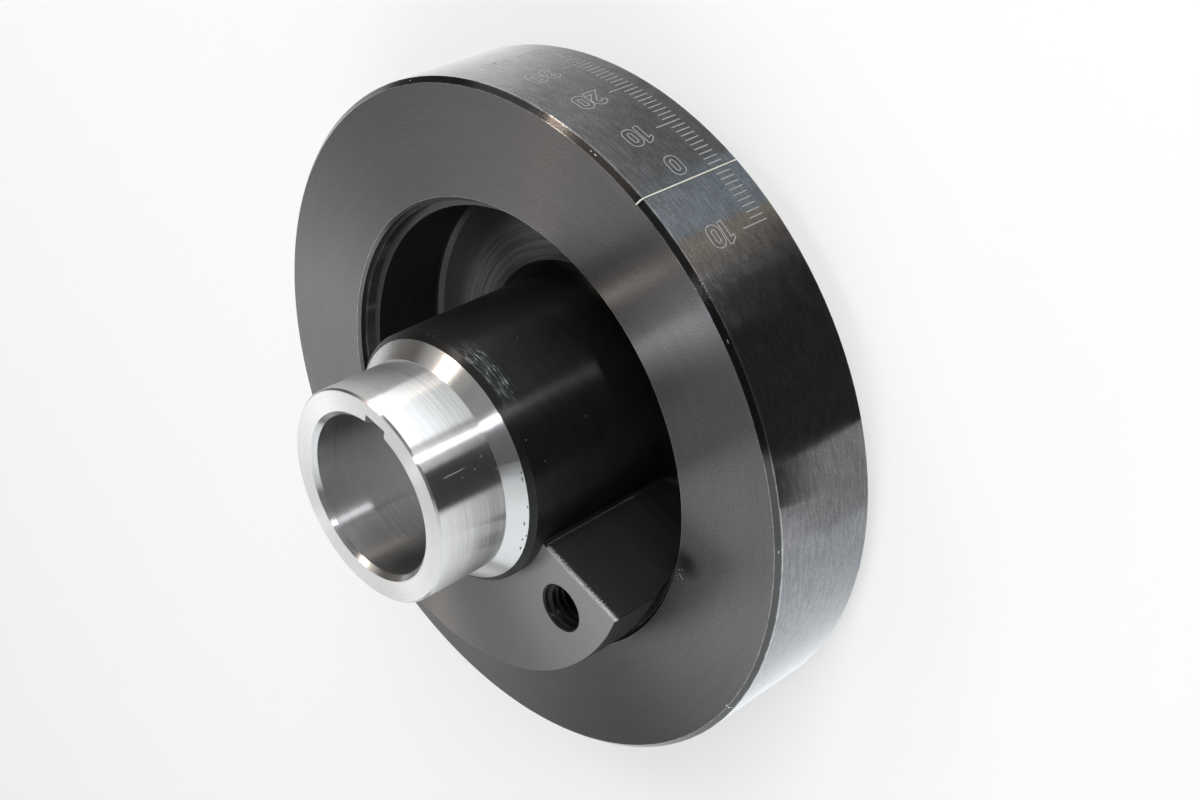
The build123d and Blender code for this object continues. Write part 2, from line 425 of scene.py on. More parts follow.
# %% Ring: worn edges with their painted highlight, roughness and relief
# Edges with a pale hairline, partly worn metal and partly painted highlight: each has its radius, its height
# and its width.
WORN_AND_HIGHLIGHT_EDGES = (
    (RING_RADIUS, RING_REAR - RING_CHAMFER, 0.30 * MM),
    (RING_RADIUS - RING_CHAMFER, RING_REAR, 0.14 * MM),
    (LIP_RADIUS + LIP_CHAMFER, RING_REAR, 0.10 * MM),
    (RING_RADIUS, RING_FRONT + RING_CHAMFER, 0.12 * MM),
)
WORN_AND_HIGHLIGHT_COLOUR = (0.58, 0.58, 0.58)
FACE_ROUGHNESS = (0.265, 0.30)
RIM_ROUGHNESS = (0.13, 0.22)
CHAMFER_ROUGHNESS = 0.11
RING_RELIEF_MM = 0.0025

wear_and_highlight = 0.0
for edge_radius, edge_height, width in WORN_AND_HIGHLIGHT_EDGES:
    worn_and_highlight = use_group(tree, worn_edge_and_highlight, {
        "Radius": radius, "Height": height, "Angle": angle,
        "Edge radius": edge_radius, "Edge height": edge_height, "Width": width,
    })
    wear_and_highlight = calc(tree, "MAXIMUM", wear_and_highlight, worn_and_highlight.outputs["Mask"])
# Painted highlight: the pale hairline along these edges is partly worn metal and partly the highlight that a
# rounded edge catches.
colour = mix_colour(tree, times(tree, wear_and_highlight, 0.7), black, WORN_AND_HIGHLIGHT_COLOUR)
roughness = mix_number(tree, on_rim, mix_number(tree, cloud, *FACE_ROUGHNESS),
                       mix_number(tree, broad, *RIM_ROUGHNESS))
roughness = mix_number(tree, on_chamfer, roughness, CHAMFER_ROUGHNESS)
relief = plus(tree, times(tree, fine, 0.7), times(tree, grain, 0.3))
finish_surface(tree, shader, colour, roughness, relief, RING_RELIEF_MM)
ring.data.materials[0] = ring_black
print("ring finish:", len(tree.nodes), "nodes")

# %% [markdown]
# ## The hub's finishes
# One piece of steel carries many finishes. The snout was ground bright after blackening,
# because an oil seal runs on it, and so were the bore and half of the shoulder. The barrel
# and the pocket stayed deep black, and the counterweight's face is a duller grey. The hub is
# one solid, so here too the radius and the height say which finish a point has.

# %% Hub: where each finish lies
POLISH_RADIUS = 28.9 * MM
POLISH_HEIGHT = SHOULDER_TOP - (POLISH_RADIUS - SEAL_RADIUS)
LEDGE_RADIUS = 51.15 * MM
BARREL_TOP = SHOULDER_TOP - (BARREL_RADIUS - SEAL_RADIUS)
SKIRT_RADIUS = LIP_RADIUS - 0.4 * MM
# Between these radii the pocket floor turns lighter inwards: a painted reflection of the bright room.
PAINTED_SHEEN_OUTER, PAINTED_SHEEN_INNER = 46.0 * MM, 41.5 * MM

hub_steel, tree, shader = new_metal("hub_steel", anisotropy=0.955)
radius, angle, height = lathe_numbers(tree)
grain, cloud = grain_of(tree, 6.0)
normal_parts = add(tree, "SeparateXYZ", {0: add(tree, "NewGeometry").outputs["True Normal"]})
faces_up = smooth_step(tree, calc(tree, "ABSOLUTE", normal_parts.outputs[2]), 0.85, 0.95)
faces_out = minus(tree, 1.0, faces_up)
face_fine, face_broad = marks_of(tree, radius, angle, 2.4, 2.5)
side_fine, side_broad = marks_of(tree, height, angle, 3.0, 4.0)
floor_broad = marks_of(tree, radius, angle, 6.0, 1.4)[1]
fine = mix_number(tree, faces_up, side_fine, face_fine)
broad = mix_number(tree, faces_up, side_broad, face_broad)
ragged = times(tree, minus(tree, grain, 0.5), 0.10 * MM)
above_shoulder = smooth_step(tree, plus(tree, height, ragged),
                             POLISH_HEIGHT - 0.03 * MM, POLISH_HEIGHT + 0.03 * MM)
in_bore = calc(tree, "LESS_THAN", radius, BORE_RADIUS + 3.2 * MM)
polished = calc(tree, "MAXIMUM", above_shoulder, in_bore)
on_end = times(tree, faces_up, calc(tree, "GREATER_THAN", height, SNOUT_END - 0.1 * MM))
on_weight = times(tree, faces_up, calc(tree, "COMPARE", height, WEIGHT_TOP, 0.1 * MM))
on_floor = times(tree, faces_up, calc(tree, "LESS_THAN", height, POCKET_FLOOR + 0.2 * MM))
ragged_radius = plus(tree, radius, times(tree, minus(tree, floor_broad, 0.5), 8 * MM))
on_painted_sheen = times(tree, on_floor, smooth_step(tree, ragged_radius, PAINTED_SHEEN_OUTER, PAINTED_SHEEN_INNER))
on_ledge = times(tree, between(tree, radius, LEDGE_RADIUS, CUP_RADIUS + 0.05 * MM, 0.05 * MM),
                 calc(tree, "LESS_THAN", height, POCKET_FLOOR + 2 * MM))
on_rim_end = times(tree, faces_up, between(tree, height, CUP_RIM - 0.1 * MM, CUP_RIM + 0.1 * MM, 0.02 * MM))
on_skirt = times(tree, calc(tree, "GREATER_THAN", radius, SKIRT_RADIUS),
                 calc(tree, "GREATER_THAN", height, RING_REAR))
# The shoulder's outermost strip was left black.
on_bevel = times(tree, calc(tree, "GREATER_THAN", height, BARREL_TOP),
                 between(tree, radius, POLISH_RADIUS - 0.2 * MM, BARREL_RADIUS - 0.1 * MM, 0.05 * MM))
print("hub masks:", len(tree.nodes), "nodes")

# %% Hub: the counterweight's worn edge
WEIGHT_NECK = 31.5 * MM

from_weight_side = minus(tree, angle, math.radians(WEIGHT_SIDE))
off_side = calc(tree, "ABSOLUTE", times(tree, radius, calc(tree, "SINE", from_weight_side)))
off_top = calc(tree, "ABSOLUTE", minus(tree, height, WEIGHT_TOP))
edge_reach = mix_number(tree, smooth_step(tree, grain, 0.3, 0.7), 0.15 * MM, 1.3 * MM)
edge_wear = smooth_step(tree, plus(tree, off_side, off_top), edge_reach, times(tree, edge_reach, 0.5))
edge_wear = times(tree, edge_wear, calc(tree, "GREATER_THAN", radius, WEIGHT_NECK))
print("hub edge:", len(tree.nodes), "nodes")

# %% Hub: its tones
BLACK_TONES = (0.022, 0.040)
WEIGHT_TONES = (0.25, 0.31)
FLOOR_TONE = 0.07
PAINTED_SHEEN_TONES = (0.10, 0.21)
LEDGE_TONE = 0.075
RIM_END_TONE = 0.11
EDGE_TONE = 0.55
BARE_TONES = (0.665, 0.74)
SKIRT_SHADE, END_SHADE, BEVEL_SHADE = 0.3, 0.71, 0.8

tone = mix_number(tree, broad, *BLACK_TONES)
for mask, new_tone in (
        (on_weight, mix_number(tree, cloud, *WEIGHT_TONES)),
        (on_floor, FLOOR_TONE),
        # Painted reflection: the floor's inner zone is lighter, with the floor's turning marks running
        # through it.
        (on_painted_sheen, mix_number(tree, smooth_step(tree, floor_broad, 0.30, 0.70), *PAINTED_SHEEN_TONES)),
        (on_ledge, LEDGE_TONE),
        (on_rim_end, RIM_END_TONE)):
    tone = mix_number(tree, mask, tone, new_tone)
tone = times(tree, tone, mix_number(tree, grain, 0.75, 1.25))
tone = times(tree, tone, mix_number(tree, times(tree, on_skirt, faces_out), 1.0, SKIRT_SHADE))
tone = mix_number(tree, edge_wear, tone, EDGE_TONE)
tone = times(tree, tone, mix_number(tree, on_bevel, 1.0, BEVEL_SHADE))
ground_fine = marks_of(tree, plus(tree, height, radius), angle, 2.8, 0.9)[0]
bare = mix_number(tree, smooth_step(tree, ground_fine, 0.3, 0.7), *BARE_TONES)
bare = times(tree, bare, mix_number(tree, on_end, 1.0, END_SHADE))
tone = mix_number(tree, polished, tone, bare)
print("hub tones:", len(tree.nodes), "nodes")

# %% Hub: scuffs, roughness and relief
SCUFF_COLOUR = (0.42, 0.49, 0.50)
SCUFF_SHARE = 0.95
SCUFF_ANGLES = (math.radians(27), math.radians(54))
SCUFF_HEIGHTS = (48.6 * MM, 54.2 * MM)
BLACK_ROUGHNESS = (0.27, 0.36)
BARE_ROUGHNESS = (0.20, 0.27)
WEIGHT_ROUGHNESS, FLOOR_ROUGHNESS = 0.46, 0.40
# Thin black finish is a little less metallic than bare steel.
BLACK_METALLIC = 0.82
HUB_RELIEF_MM = 0.0035

scuff_fine = marks_of(tree, height, angle, 4.5, 14.0)[0]
scuff_place = times(tree, between(tree, angle, *SCUFF_ANGLES, math.radians(7)),
                    between(tree, height, *SCUFF_HEIGHTS, 1.0 * MM))
on_barrel = between(tree, radius, BARREL_RADIUS - 0.1 * MM, BARREL_RADIUS + 0.1 * MM, 0.02 * MM)
scuffs = times(tree, scuff_place, on_barrel, smooth_step(tree, scuff_fine, 0.54, 0.70), SCUFF_SHARE)
colour = mix_colour(tree, scuffs, tinted(tree, tone, 0.995, 0.99), SCUFF_COLOUR)
roughness = mix_number(tree, broad, *BLACK_ROUGHNESS)
roughness = mix_number(tree, on_weight, roughness, WEIGHT_ROUGHNESS)
roughness = mix_number(tree, on_floor, roughness, FLOOR_ROUGHNESS)
roughness = mix_number(tree, polished, roughness, mix_number(tree, ground_fine, *BARE_ROUGHNESS))
feed(tree, shader.inputs["Metallic"], mix_number(tree, polished, BLACK_METALLIC, 1.0))
relief = plus(tree, times(tree, fine, 0.75), times(tree, grain, 0.25))
finish_surface(tree, shader, colour, roughness, relief, HUB_RELIEF_MM)
hub.data.materials[0] = hub_steel
print("hub finish:", len(tree.nodes), "nodes")

# %% [markdown]
# ## Rubber
# The band is black rubber, pressed into the gap and trimmed. It is not a metal: it has a
# dull surface with a fine tooth and a little dust in it. The trimming knife dragged pale
# streaks of bonding agent along the band, and the turning marks draw those well.

# %% Material: rubber
RUBBER_TONES = (0.012, 0.03)
SMEAR_TONE = 0.075
RUBBER_RELIEF_MM = 0.05

rubber, tree, shader = new_material("trimmed_rubber")
radius, angle, height = lathe_numbers(tree)
grain, cloud = grain_of(tree, 3.0)
smear_broad = marks_of(tree, radius, angle, 5.0, 9.0)[1]
tone = mix_number(tree, cloud, *RUBBER_TONES)
tone = mix_number(tree, smooth_step(tree, smear_broad, 0.46, 0.66), tone, SMEAR_TONE)
tone = times(tree, tone, mix_number(tree, grain, 0.5, 1.5))
roughness = mix_number(tree, grain, 0.5, 0.75)
finish_surface(tree, shader, tinted(tree, tone), roughness, grain, RUBBER_RELIEF_MM)
rubber_band.data.materials[0] = rubber
print("rubber finish:", len(tree.nodes), "nodes")

# %% [markdown]
# ## The scale's numbers
# The numbers beside the scale were burnt through the black by a laser as thin outlines, so
# each figure is a hollow shape drawn with one fine pale line. A text object would bring a
# font's look, so the figures are drawn here instead. Some are a closed outline. The 2 and
# the 3 are easier: a pen path down the middle, whose outline is then worked out.

# %% Helpers for outlines
# All sizes of the figures are in millimetres.
FIGURE_HEIGHT = 5.3
PEN = 1.15


def arc_points(centre, radius, start_deg, end_deg, count=14):
    turn_by = (end_deg - start_deg) / count
    angles = [math.radians(start_deg + turn_by * step) for step in range(count + 1)]
    return [(centre[0] + radius * math.cos(a), centre[1] + radius * math.sin(a)) for a in angles]


def oval(centre, width, height, corner):
    """A closed rectangle whose corners are arcs."""
    points = []
    for number, (side_x, side_y) in enumerate(((1, 1), (-1, 1), (-1, -1), (1, -1))):
        middle = (centre[0] + side_x * (width / 2 - corner), centre[1] + side_y * (height / 2 - corner))
        points += arc_points(middle, corner, 90 * number, 90 * number + 90, 8)
    return points


def beside(path, offset, closed):
    """The path moved sideways by an offset, with mitred corners."""
    moved = []
    last = len(path) - 1
    for index, point in enumerate(path):
        before = path[index - 1] if index or closed else point
        after = path[(index + 1) % len(path)] if index < last or closed else point
        normals = []
        for start, end in ((before, point), (point, after)):
            length = math.hypot(end[0] - start[0], end[1] - start[1])
            if length > 1e-9:
                normals.append(((start[1] - end[1]) / length, (end[0] - start[0]) / length))
        mean = (sum(n[0] for n in normals), sum(n[1] for n in normals))
        size = math.hypot(*mean)
        mean = (mean[0] / size, mean[1] / size)
        corner = max(0.45, mean[0] * normals[0][0] + mean[1] * normals[0][1])
        moved.append((point[0] + mean[0] * offset / corner, point[1] + mean[1] * offset / corner))
    return moved


def outline_of(path):
    return beside(path, PEN / 2, False) + beside(path, -PEN / 2, False)[::-1]


print("figures are", FIGURE_HEIGHT, "mm high")

# %% Outlines of the figures
# Each figure has its width and its closed outlines, which start at its lower left.
FIGURES = {
    "0": (3.5, [oval((1.75, 2.65), 3.5, FIGURE_HEIGHT, 1.6), oval((1.75, 2.65), 1.15, 2.95, 0.56)]),
    "1": (2.35, [[(0.95, 0.0), (2.15, 0.0), (2.15, 5.3), (1.3, 5.3), (0.0, 4.35), (0.0, 3.55),
                  (0.95, 3.95)]]),
    "2": (3.5, [outline_of(
        arc_points((1.78, 3.55), 1.17, 172, -22) + [(0.72, PEN / 2), (3.4, PEN / 2)])]),
    "3": (3.5, [outline_of(
        arc_points((1.68, 3.78), 0.95, 165, -62) + arc_points((1.72, 1.68), 1.1, 62, -165))]),
    "4": (3.6, [[(2.0, 0.0), (3.1, 0.0), (3.1, 1.0), (3.6, 1.0), (3.6, 2.0), (3.1, 2.0), (3.1, 5.3),
                 (1.75, 5.3), (0.0, 2.1), (0.0, 1.0), (2.0, 1.0)],
                [(2.0, 2.0), (1.1, 2.0), (2.0, 3.75)]]),
}
print("figures drawn:", ", ".join(FIGURES))

# %% [markdown]
# ## Wrapping the numbers round the rim
# Each line of a figure becomes a flat ribbon with its edges sunk into the rim. A point's
# height on the figure turns into an angle and its width into a height along the axis, and
# that bends the ribbon round the ring. Figures read towards the rear, so they lie sideways.
# Long runs are cut up first, because only points can follow a curve.

# %% A new piece and its finish
def new_piece(name, verts, faces, material, slot):
    """Make a mesh of points and faces, and let it ride on the balancer's one body."""
    mesh = bpy.data.meshes.new(name)
    mesh.from_pydata(verts, [], faces)
    shape = bmesh.new()
    shape.from_mesh(mesh)
    bmesh.ops.recalc_face_normals(shape, faces=shape.faces)
    shape.to_mesh(mesh)
    shape.free()
    mesh.materials.append(material)
    piece = bpy.data.objects.new(name, mesh)
    bpy.context.scene.collection.objects.link(piece)
    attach(piece, BODY)
    return piece


burnt_line = grainy_finish(
    "burnt_line", 5.0, tones=(0.16, 0.34), tint=(1.02, 1.03), roughness=(0.5, 0.8), depth_mm=0.01)
print("finish ready:", burnt_line.name)

# %% Bending a figure round the rim
LONGEST_RUN = 0.4


def divided(path):
    """A closed path with its long runs cut up, so that it can bend round the rim."""
    points = []
    for start, end in zip(path, path[1:] + path[:1]):
        parts = max(1, math.ceil(math.hypot(end[0] - start[0], end[1] - start[1]) / LONGEST_RUN))
        for part in range(parts):
            share = part / parts
            points.append((start[0] + (end[0] - start[0]) * share, start[1] + (end[1] - start[1]) * share))
    return points


def on_cylinder(across, up, radius, centre_deg, centre_height):
    turned_deg = math.degrees(up * MM / RING_RADIUS)
    return at_angle(radius, centre_deg - turned_deg, centre_height + across * MM)


print("runs longer than", LONGEST_RUN, "mm are cut up")

# %% Numbers on the rim
LINE_WIDTH = 0.19
LINE_LIFT = 0.012
LINE_SINK = 0.03
FIGURE_GAP = 0.3
# Each number has its piece's name, its figures, its angle on the rim and its height.
NUMBERS = (
    ("number_10_before", "10", 25.8, 22.75 * MM),
    ("number_0", "0", 38.1, 20.7 * MM),
    ("number_10", "10", 45.0, 22.4 * MM),
    ("number_20", "20", 55.06, 22.4 * MM),
    ("number_30", "30", 65.0, 22.4 * MM),
    ("number_40", "40", 74.8, 22.4 * MM),
)


def number_on_rim(name, text, angle_deg, height):
    """Draw a number as ribbons, each with a top, an underside and two sunk edges."""
    width = sum(FIGURES[figure][0] for figure in text) + FIGURE_GAP * (len(text) - 1)
    start = -width / 2
    verts, faces = [], []
    for figure in text:
        figure_width, outlines = FIGURES[figure]
        for outline in outlines:
            placed = divided([(x + start, y - FIGURE_HEIGHT / 2) for x, y in outline])
            sides = [beside(placed, LINE_WIDTH / 2, True), beside(placed, -LINE_WIDTH / 2, True)]
            first, count = len(verts), len(placed)
            for side, level in ((0, LINE_LIFT), (1, LINE_LIFT), (1, -LINE_SINK), (0, -LINE_SINK)):
                verts += [on_cylinder(x, y, RING_RADIUS + level * MM, angle_deg, height)
                          for x, y in sides[side]]
            for band in range(4):
                for step in range(count):
                    here, there = first + band * count, first + (band + 1) % 4 * count
                    after = (step + 1) % count
                    faces.append((here + step, here + after, there + after, there + step))
        start += figure_width + FIGURE_GAP
    new_piece(name, verts, faces, burnt_line, "ring_iron")
    return len(faces)


print("faces in the numbers:", sum(number_on_rim(*number) for number in NUMBERS))

# %% [markdown]
# ## The scale's lines
# The frame has the scale's grooves. On the real ring a groove shows as a fine pale line,
# because its floor is bare metal and catches the light. Here a slim bar of the pale material
# stands in each groove, a little below the rim. The zero line is cream, and it runs the whole
# width of the rim and over the chamfer.

# %% Lines of the scale
# The zero line's angle and the pitch of the scale are in degrees.
SCALE_ZERO = 35.2
SCALE_PITCH = 1.0
SCALE_LOW = RING_FRONT + 4.5 * MM
SHORT_MARK = 4.0 * MM
LONG_MARK = 7.1 * MM
LONG_EVERY = 10
MARK_DEPTH = 0.25 * MM
MARKS_BEFORE, MARKS_AFTER = 10, 40
BAR_WIDTH = 0.27 * MM
BAR_SINK = 0.01 * MM
BAR_TOP = RING_RADIUS - BAR_SINK
BAR_FLOOR = BAR_TOP - MARK_DEPTH


def bar(verts, faces, angle_deg, width, outline):
    """Add a bar that follows an outline of radii and heights, top line first, then its underside."""
    around = math.radians(angle_deg)
    first, count = len(verts), len(outline)
    for side in (-width / 2, width / 2):
        for radius, height in outline:
            verts.append((radius * math.cos(around) - side * math.sin(around),
                          radius * math.sin(around) + side * math.cos(around), height))
    faces.append(tuple(range(first, first + count)))
    faces.append(tuple(range(first + 2 * count - 1, first + count - 1, -1)))
    for step in range(count):
        after = (step + 1) % count
        faces.append((first + after, first + step, first + count + step, first + count + after))


mark_verts, mark_faces = [], []
for step in range(-MARKS_BEFORE, MARKS_AFTER + 1):
    if step != 0:
        mark_end = SCALE_LOW + (LONG_MARK if step % LONG_EVERY == 0 else SHORT_MARK)
        bar(mark_verts, mark_faces, SCALE_ZERO + step * SCALE_PITCH, BAR_WIDTH,
            [(BAR_TOP, SCALE_LOW), (BAR_TOP, mark_end), (BAR_FLOOR, mark_end), (BAR_FLOOR, SCALE_LOW)])
new_piece("scale_marks", mark_verts, mark_faces, burnt_line, "ring_iron")
print("short and long lines:", len(mark_faces), "faces")

# %% The zero line
ZERO_BAR_WIDTH = 0.28 * MM

zero_paint = grainy_finish(
    "zero_line_cream", 4.0, tones=(0.40, 0.70), tint=(0.97, 0.87), roughness=(0.5, 0.8), depth_mm=0.02)
zero_verts, zero_faces = [], []
bar(zero_verts, zero_faces, SCALE_ZERO, ZERO_BAR_WIDTH, [
    (BAR_TOP, RING_FRONT + RING_CHAMFER),
    (BAR_TOP, RING_REAR - RING_CHAMFER),
    (BAR_TOP - RING_CHAMFER, RING_REAR - BAR_SINK),
    (BAR_FLOOR - RING_CHAMFER, RING_REAR - BAR_SINK),
    (BAR_FLOOR, RING_REAR - RING_CHAMFER - MARK_DEPTH / 2),
    (BAR_FLOOR, RING_FRONT + RING_CHAMFER),
])
new_piece("zero_line", zero_verts, zero_faces, zero_paint, "ring_iron")
print("zero line:", len(zero_faces), "faces")

# %% [markdown]
# ## Threads
# The frame's tapped holes are plain, at the thread's widest diameter. A real tap leaves a
# ridge that winds down the wall. Here it is swept along a helix: four points make the ridge's
# profile, two of them just inside the wall and two at its crest, and each step joins to the
# next. The four holes of the hidden side go up into the hub, so their helix is turned over,
# and all five threads stay right-handed.

# %% The shape of a thread
STEPS_PER_TURN = 40
WALL_OVERLAP = 0.06
CREST_FLAT = 0.12
ROOT_FLAT = 0.25


def thread(mouth, length, major_radius, minor_radius, pitch, downward):
    """A thread ridge in millimetres. It winds into the hole from the middle of its mouth."""
    turns = length / pitch
    steps = int(turns * STEPS_PER_TURN)
    half_root = pitch / 2 * (1 - ROOT_FLAT)
    half_crest = pitch * CREST_FLAT / 2
    wall = major_radius + WALL_OVERLAP
    section = [(wall, half_root), (minor_radius, half_crest), (minor_radius, -half_crest), (wall, -half_root)]
    verts, faces = [], []
    for step in range(steps + 1):
        around = 2 * math.pi * step / STEPS_PER_TURN
        depth = pitch * step / STEPS_PER_TURN + pitch / 2
        # The ridge grows out of the wall over half a turn at each end.
        grown = min(1.0, 2 * step / STEPS_PER_TURN, 2 * (steps - step) / STEPS_PER_TURN)
        for radius, rise in section:
            place = wall + (radius - wall) * grown
            height = mouth[2] - downward * (depth + rise)
            verts.append((
                mouth[0] * MM + place * MM * math.cos(around),
                mouth[1] * MM - place * MM * math.sin(around) * downward,
                height * MM,
            ))
    size = len(section)
    for step in range(steps):
        for corner in range(size):
            after = (corner + 1) % size
            here = step * size
            faces.append((here + corner, here + after, here + size + after, here + size + corner))
    faces.append(tuple(range(size)))
    faces.append(tuple(steps * size + corner for corner in range(size)))
    return verts, faces


cut_steel = grainy_finish(
    "cut_steel", 5.0, tones=(0.02, 0.07), tint=(1.0, 1.02), roughness=(0.35, 0.55), depth_mm=0.01,
    metallic=1.0, cloudy=True)
print("finish ready:", cut_steel.name)

# %% Threads in the five tapped holes
# Each thread's length, major and minor radius and pitch, in millimetres.
WEIGHT_THREAD = (22.0, 5.55, 4.72, 1.814)
PULLEY_THREAD = (6.2, 4.75, 4.05, 1.5875)
TAP_CENTRE = at_angle(42.3, -62.0, WEIGHT_TOP / MM)
PULLEY_CIRCLE_RADIUS = 76.2 / 2

verts, faces = thread(TAP_CENTRE, *WEIGHT_THREAD, 1)
new_piece("weight_thread", verts, faces, cut_steel, "hub_steel")
pulley_faces = 0
for number in range(4):
    mouth = at_angle(PULLEY_CIRCLE_RADIUS, 45 + 90 * number, 0.0)
    verts, faces = thread(mouth, *PULLEY_THREAD, -1)
    new_piece(f"pulley_thread_{number + 1}", verts, faces, cut_steel, "hub_steel")
    pulley_faces += len(faces)
print("faces in the pulley threads:", pulley_faces)

# %% [markdown]
# ## Nicks and flecks
# A used part is never perfect. Knocks at its edges lift small bright burrs, and flecks of
# the black bath cling to the polished cone. Each one is a thin ragged chip of its own shape,
# laid on the surface with its rim sunk in. A seeded random generator keeps them the same.

# %% The shape of a chip
chance = random.Random(7)


def chip(pile, place, normal, along, length, width, height):
    """Add a ragged low mound, in millimetres, to a growing pile of points and faces."""
    verts, faces = pile
    normal = Vector(normal).normalized()
    along = Vector(along)
    along = (along - normal * along.dot(normal)).normalized()
    side = normal.cross(along)
    centre = Vector(place)
    points = 9
    first = len(verts)
    for share, lift in ((1.0, -0.25), (0.9, 0.25), (0.5, 0.9)):
        for number in range(points):
            around = 2 * math.pi * number / points
            ragged = share * chance.uniform(0.72, 1.2)
            spot = (centre + along * (math.cos(around) * length / 2 * ragged)
                    + side * (math.sin(around) * width / 2 * ragged)
                    + normal * (height * lift * chance.uniform(0.8, 1.2)))
            verts.append(spot * MM)
    verts.append((centre + normal * height) * MM)
    verts.append((centre - normal * height * 0.4) * MM)
    for number in range(points):
        after = (number + 1) % points
        for level in range(2):
            here = first + level * points
            faces.append((here + number, here + after, here + points + after, here + points + number))
        faces.append((first + 2 * points + number, first + 2 * points + after, first + 3 * points))
        faces.append((first + after, first + number, first + 3 * points + 1))


UP = (0, 0, 1)
nicks, flecks = ([], []), ([], [])
print("a chip has its place, the surface's direction, the way it lies and its three sizes")

# %% Nicks on the ring and at its lip
RING_REAR_MM = RING_REAR / MM
CHAMFER_MIDDLE = 82.0
CHAMFER_DROP = 0.62
CHAMFER_SPECKS = (86.5, 45.8, 44.9, 12.0, -20.0, 118.0)
# Each has its angle, and its radius in millimetres.
LIP_SPECKS = ((-36.3, 56.4), (-37.6, 57.0), (-38.4, 56.1), (-35.6, 57.3), (-39.2, 56.6))

# The knock on the rear outer edge, and a burr a little further round.
chip(nicks, at_angle(81.35, -54.2, RING_REAR_MM), UP, at_angle(1, -54.2, 0), 1.3, 0.32, 0.05)
chip(nicks, at_angle(82.0, -54.3, RING_REAR_MM - 0.6), at_angle(1, -54.2, 1),
     at_angle(1, -54.2, -1), 1.2, 0.26, 0.05)
chip(nicks, at_angle(81.6, -99.5, RING_REAR_MM - 0.3), at_angle(1, -99.5, 1), (1, 0, 0),
     1.1, 0.3, 0.06)
# Specks along the chamfer and at the lip.
for angle_deg in CHAMFER_SPECKS:
    chip(nicks, at_angle(CHAMFER_MIDDLE, angle_deg, RING_REAR_MM - CHAMFER_DROP),
         at_angle(1, angle_deg, 1), at_angle(1, angle_deg + 90, 0), chance.uniform(0.4, 0.8), 0.2, 0.03)
for angle_deg, radius_mm in LIP_SPECKS:
    chip(nicks, at_angle(radius_mm, angle_deg, RING_REAR_MM), UP,
         at_angle(1, angle_deg, 0), chance.uniform(0.3, 0.7), chance.uniform(0.15, 0.3), 0.05)
chip(nicks, at_angle(57.2, -37.6, RING_REAR_MM), UP, (0.45, -1, 0), 2.0, 0.26, 0.06)
print("nicks on the ring:", len(nicks[1]), "faces")

# %% Specks on the hub, a scratch and the mill's burr
# Each has its angle, and its height in millimetres.
HUB_SPECKS = (
    (74.2, 52.9), (70.7, 52.6), (8.3, 61.0), (3.1, 67.2), (4.0, 63.6),
    (-0.7, 58.4), (4.7, 34.9), (-4.4, 49.1), (7.0, 52.0), (48.4, 38.8),
)
BURR_STEPS = 26
BURR_START = 32.0
BURR_STEP = 0.9
BURR_OUTSIDE = 0.0785398

for angle_deg, height_mm in HUB_SPECKS:
    wall = BARREL_RADIUS if height_mm * MM < BARREL_TOP else SEAL_RADIUS
    chip(nicks, at_angle(wall / MM, angle_deg, height_mm), at_angle(1, angle_deg, 0),
         UP, chance.uniform(0.25, 0.5), 0.2, 0.02)
# One long scratch runs along the seal's surface.
chip(nicks, at_angle(SEAL_RADIUS / MM, 6.7, 69.0), at_angle(1, 6.7, 0), UP, 7.0, 0.13, 0.02)
# The mill left a ragged burr just outside the counterweight's edge.
for step in range(BURR_STEPS):
    radius_mm = BURR_START + step * BURR_STEP + chance.uniform(-0.3, 0.3)
    burr_angle = WEIGHT_SIDE - math.degrees(BURR_OUTSIDE / radius_mm)
    chip(nicks, at_angle(radius_mm, burr_angle, WEIGHT_TOP / MM - 0.1),
         at_angle(1, WEIGHT_SIDE + 90, 1.2), at_angle(1, WEIGHT_SIDE, 0),
         chance.uniform(0.6, 1.3), chance.uniform(0.08, 0.2), 0.03)

bright_nick = grainy_finish(
    "bright_nick", 6.0, tones=(0.5, 0.85), tint=(1.0, 0.98), roughness=(0.25, 0.5), depth_mm=0.02,
    metallic=1.0)
new_piece("bright_nicks", *nicks, bright_nick, "hub_steel")
print("bright chips:", len(nicks[1]), "faces")

# %% Black flecks on the cone
CONE_SUM = (SEAL_RADIUS + SHOULDER_TOP) / MM
# Each has its angle, its radius and its length.
FLECKS = (
    (-31, 28.2, 1.3), (-8.5, 28.5, 1.0), (-46.5, 28.4, 1.2), (-22, 28.7, 0.6),
    (-38, 28.75, 0.8), (-40.5, 28.3, 0.7), (-5.5, 28.6, 0.6), (97, 28.5, 0.7),
)

for angle_deg, radius_mm, length in FLECKS:
    chip(flecks, at_angle(radius_mm, angle_deg, CONE_SUM - radius_mm),
         at_angle(1, angle_deg, 1), at_angle(1, angle_deg + 90, 0), length, 0.3, 0.03)
black_fleck = grainy_finish(
    "black_fleck", 4.0, tones=(0.01, 0.05), tint=(1.0, 1.0), roughness=(0.4, 0.6), depth_mm=0.02)
new_piece("black_flecks", *flecks, black_fleck, "hub_steel")
print("black flecks:", len(flecks[1]), "faces")

# %% [markdown]
# ## The floor
# The floor is one large white sheet, so one flat face will do. The camera and the polished
# metal see it as white paper, so part of its white is given off for camera and glossy rays.
# The rest is ordinary matt white, and that part still takes the balancer's shadow.

# %% Floor
FLOOR_HALF = 3.0
PAPER_GLOW = 0.53
PAPER_MATT = 0.40
WHITE = (1.0, 1.0, 1.0)


def bare_material(name):
    """A material without its ready-made shader, and the input that takes another."""
    material, tree, shader = new_material(name)
    tree.nodes.remove(shader)
    return material, tree, tree.nodes["Material Output"].inputs["Surface"]


